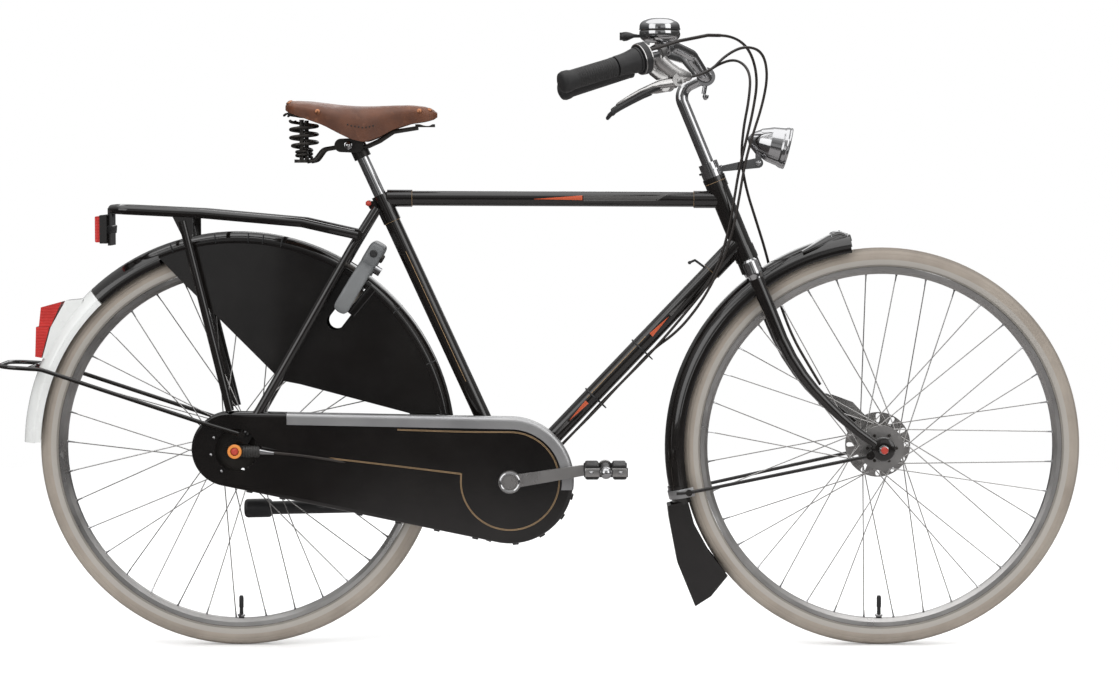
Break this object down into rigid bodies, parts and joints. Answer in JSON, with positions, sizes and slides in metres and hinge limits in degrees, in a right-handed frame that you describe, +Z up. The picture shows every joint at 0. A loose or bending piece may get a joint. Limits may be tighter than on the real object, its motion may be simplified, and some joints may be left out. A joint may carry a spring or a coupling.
{
  "type": "city bicycle",
  "caption": "Upright city bicycle with a diamond frame, swept bars, roller brakes, closed chaincase, coat guards, sprung saddle, rear rack and ring lock.",
  "frame": {"origin": "on the ground, on the middle plane, halfway along the bicycle's overall length", "axes": "+X forward, +Y to the rider's left, +Z up"},
  "size_m": [1.9244, 0.6322, 1.1119],
  "materials": {
    "black_enamel": "gloss",
    "cable_sheath": "satin",
    "case_plastic": "gloss",
    "chrome": "polished",
    "clear_lens": "clear",
    "dark_plastic": "matte",
    "grey_plastic": "satin",
    "grip_rubber": "matte",
    "guard_sheet": "satin",
    "leather": "satin",
    "polished_alloy": "polished",
    "red_lens": "gloss",
    "steel": "satin",
    "tyre_rubber": "matte",
    "white_enamel": "gloss"
  },
  "bodies": {
    "frame": {"head_tube": "black_enamel", "top_tube": "black_enamel", "down_tube": "black_enamel", "seat_tube": "black_enamel", "chain_stays": "black_enamel", "seat_stays": "black_enamel", "rear_mudguard": "black_enamel", "mudguard_tail": "white_enamel", "rear_stay_loop": "steel", "rear_lenses": "red_lens", "coat_guards": "guard_sheet", "rear_rack": "black_enamel", "chaincase_outer": "case_plastic", "chaincase_inner": "case_plastic", "chaincase_trim": "chrome", "chaincase_rear_cap": "case_plastic", "ring_lock_body": "grey_plastic", "rear_axle": "steel", "rear_brake": "polished_alloy", "shift_cable": "cable_sheath", "rear_brake_cable": "cable_sheath", "chain": "steel"},
    "steering": {"fork": "black_enamel", "headset_nuts": "chrome", "stem": "chrome", "handlebar": "chrome", "grips": "grip_rubber", "bar_controls": "polished_alloy", "bell": "chrome", "front_mudguard": "black_enamel", "mud_flap": "grip_rubber", "front_mudguard_stays": "steel", "front_axle": "steel", "front_brake": "polished_alloy", "front_brake_cable": "cable_sheath"},
    "right_brake": {"right_brake_lever": "polished_alloy"},
    "left_brake": {"left_brake_lever": "polished_alloy"},
    "shifter": {"twist_grip": "dark_plastic"},
    "bell_thumb": {"bell_lever": "steel"},
    "headlamp": {"headlamp_shell": "chrome", "headlamp_lens": "clear_lens"},
    "front_wheel": {"front_tyre": "tyre_rubber", "front_rim": "polished_alloy", "front_spokes": "steel", "front_hub": "polished_alloy"},
    "rear_wheel": {"rear_tyre": "tyre_rubber", "rear_rim": "polished_alloy", "rear_spokes": "steel", "rear_hub": "polished_alloy"},
    "sprocket": {"rear_sprocket": "steel"},
    "crankset": {"chainring": "steel", "crank_arms": "polished_alloy"},
    "right_foot_pedal": {"right_pedal": "grip_rubber"},
    "left_foot_pedal": {"left_pedal": "grip_rubber"},
    "stand": {"side_stand": "black_enamel"},
    "shackle": {"lock_shackle": "steel"},
    "saddle": {"seat_post": "chrome", "saddle_leather": "leather", "saddle_frame": "black_enamel", "saddle_springs": "black_enamel"}
  },
  "joints": [
    {"name": "steering_turn", "type": "hinge", "parent": "frame", "child": "steering", "pos_m": [0.3107, 0, 0.8287], "axis": [-0.3833, 0, 0.9236], "range_deg": [-60, 60], "deforming": ["shift_cable", "rear_brake_cable"]},
    {"name": "front_wheel_spin", "type": "hinge", "parent": "steering", "child": "front_wheel", "pos_m": [0.6067, 0, 0.356], "axis": [0, 1, 0], "continuous": true},
    {"name": "rear_wheel_spin", "type": "hinge", "parent": "frame", "child": "rear_wheel", "pos_m": [-0.5373, 0, 0.356], "axis": [0, 1, 0], "continuous": true},
    {"name": "crank_spin", "type": "hinge", "parent": "frame", "child": "crankset", "pos_m": [-0.054, 0, 0.301], "axis": [0, 1, 0], "continuous": true, "deforming": ["chain"]},
    {"name": "sprocket_spin", "type": "hinge", "parent": "frame", "child": "sprocket", "pos_m": [-0.5373, 0, 0.356], "axis": [0, 1, 0], "continuous": true},
    {"name": "right_pedal_spin", "type": "hinge", "parent": "crankset", "child": "right_foot_pedal", "pos_m": [0.11391, -0.1, 0.32759], "axis": [0, 1, 0], "continuous": true},
    {"name": "left_pedal_spin", "type": "hinge", "parent": "crankset", "child": "left_foot_pedal", "pos_m": [-0.22191, 0.1, 0.27441], "axis": [0, 1, 0], "continuous": true},
    {"name": "right_brake_squeeze", "type": "hinge", "parent": "steering", "child": "right_brake", "pos_m": [0.232, -0.196, 1.004], "axis": [-0.4815, 0.8764, 0.0102], "range_deg": [0, 16], "stiffness_Nm_per_rad": 4, "springref_deg": -5.73},
    {"name": "left_brake_squeeze", "type": "hinge", "parent": "steering", "child": "left_brake", "pos_m": [0.232, 0.196, 1.004], "axis": [0.4815, 0.8764, -0.0102], "range_deg": [0, 16], "stiffness_Nm_per_rad": 4, "springref_deg": -5.73},
    {"name": "gear_twist", "type": "hinge", "parent": "steering", "child": "shifter", "pos_m": [0.18, -0.225, 1.041], "axis": [-0.8531, -0.4474, -0.2685], "range_deg": [-50, 50]},
    {"name": "bell_press", "type": "hinge", "parent": "steering", "child": "bell_thumb", "pos_m": [0.192, -0.198, 1.075], "axis": [0, 0, 1], "range_deg": [0, 25], "stiffness_Nm_per_rad": 0.5, "springref_deg": -2.86},
    {"name": "headlamp_tilt", "type": "hinge", "parent": "steering", "child": "headlamp", "pos_m": [0.386, 0, 0.862], "axis": [0, 1, 0], "range_deg": [-12, 12]},
    {"name": "stand_swing", "type": "hinge", "parent": "frame", "child": "stand", "pos_m": [-0.214, 0.052, 0.245], "axis": [0, -0.845, -0.5348], "range_deg": [0, 122]},
    {"name": "lock_slide", "type": "hinge", "parent": "frame", "child": "shackle", "pos_m": [-0.3336, 0, 0.6371], "axis": [0.858, 0, -0.5136], "range_deg": [0, 100]},
    {"name": "seat_post_slide", "type": "slide", "parent": "frame", "child": "saddle", "axis": [-0.4171, 0, 0.9089], "range_m": [-0.03, 0.07]}
  ],
  "couplings": [
    {"joint": "sprocket_spin", "follows": "crank_spin", "ratio": 2}
  ]
}
